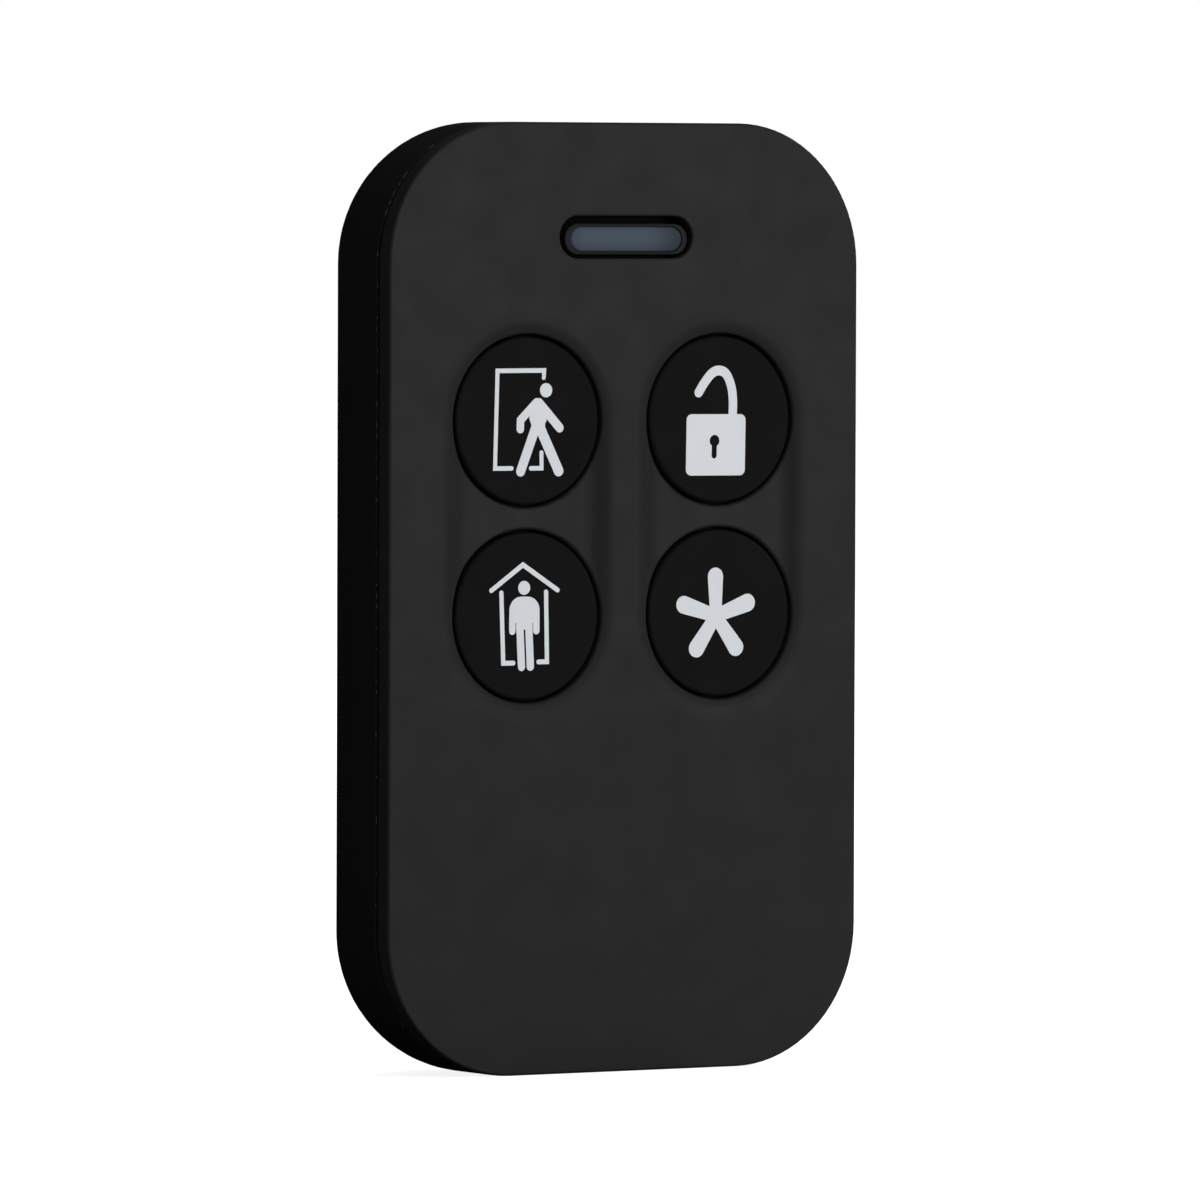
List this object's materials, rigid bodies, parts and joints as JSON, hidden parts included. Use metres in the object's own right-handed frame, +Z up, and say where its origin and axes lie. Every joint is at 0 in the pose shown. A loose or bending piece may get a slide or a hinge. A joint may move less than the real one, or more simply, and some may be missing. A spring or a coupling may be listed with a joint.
{
  "type": "alarm key fob",
  "caption": "Slim hand-held alarm key fob: rounded case with dished channels, round push keys with white pictograms and a slot-shaped indicator window.",
  "frame": {"origin": "middle of the whole body", "axes": "+X to the right of the face, +Y from the front face to the back, +Z up along the height"},
  "size_m": [0.034, 0.011, 0.0586],
  "materials": {
    "cover_plastic": "dark grey, fine spark-eroded texture, moulded ABS",
    "case_plastic": "black, fine texture, moulded ABS",
    "key_rubber": "matte black moulded keys with printed pictograms",
    "bezel_plastic": "black, satin",
    "light_pipe_plastic": "translucent grey-blue polycarbonate",
    "silicone": "black silicone, dull",
    "board_laminate": "green solder mask",
    "led_body": "white",
    "chip_package": "black moulded epoxy",
    "nickel_can": "nickel",
    "capacitor_ceramic": "tan",
    "resistor_ceramic": "black",
    "copper_wire": "tinned copper",
    "solder_tin": "solder",
    "cell_steel": "nickel-plated steel",
    "cell_gasket_plastic": "natural",
    "cradle_plastic": "black",
    "contact_steel": "spring steel, plated",
    "screw_steel": "blackened",
    "plunger_plastic": "red",
    "switch_plastic": "black",
    "dome_steel": "spring steel"
  },
  "bodies": {
    "fob": {"front_cover": "cover_plastic", "rear_case": "case_plastic", "keypad_mat": "silicone", "window_frame": "bezel_plastic", "light_pipe": "light_pipe_plastic", "circuit_board": "board_laminate", "status_led": "led_body", "radio_chip": "chip_package", "crystal": "nickel_can", "capacitors": "capacitor_ceramic", "resistors": "resistor_ceramic", "antenna_loop": "copper_wire", "switch_terminals": "solder_tin", "cell_can": "cell_steel", "cell_gasket": "cell_gasket_plastic", "cell_cap": "cell_steel", "cell_cradle": "cradle_plastic", "positive_contact": "contact_steel", "negative_contact": "contact_steel", "case_screws": "screw_steel", "switch_away": "switch_plastic", "switch_disarm": "switch_plastic", "switch_home": "switch_plastic", "switch_star": "switch_plastic", "dome_away": "dome_steel", "dome_disarm": "dome_steel", "dome_home": "dome_steel", "dome_star": "dome_steel"},
    "key_away": {"key_away": "key_rubber", "plunger_away": "plunger_plastic"},
    "key_disarm": {"key_disarm": "key_rubber", "plunger_disarm": "plunger_plastic"},
    "key_home": {"key_home": "key_rubber", "plunger_home": "plunger_plastic"},
    "key_star": {"key_star": "key_rubber", "plunger_star": "plunger_plastic"}
  },
  "joints": [
    {"name": "press_away", "type": "slide", "parent": "fob", "child": "key_away", "axis": [0, 1, 0], "range_m": [0, 0.0003], "stiffness_N_per_m": 4000, "springref_m": -0.0001, "deforming": ["dome_away"]},
    {"name": "press_disarm", "type": "slide", "parent": "fob", "child": "key_disarm", "axis": [0, 1, 0], "range_m": [0, 0.0003], "stiffness_N_per_m": 4000, "springref_m": -0.0001, "deforming": ["dome_disarm"]},
    {"name": "press_home", "type": "slide", "parent": "fob", "child": "key_home", "axis": [0, 1, 0], "range_m": [0, 0.0003], "stiffness_N_per_m": 4000, "springref_m": -0.0001, "deforming": ["dome_home"]},
    {"name": "press_star", "type": "slide", "parent": "fob", "child": "key_star", "axis": [0, 1, 0], "range_m": [0, 0.0003], "stiffness_N_per_m": 4000, "springref_m": -0.0001, "deforming": ["dome_star"]}
  ]
}
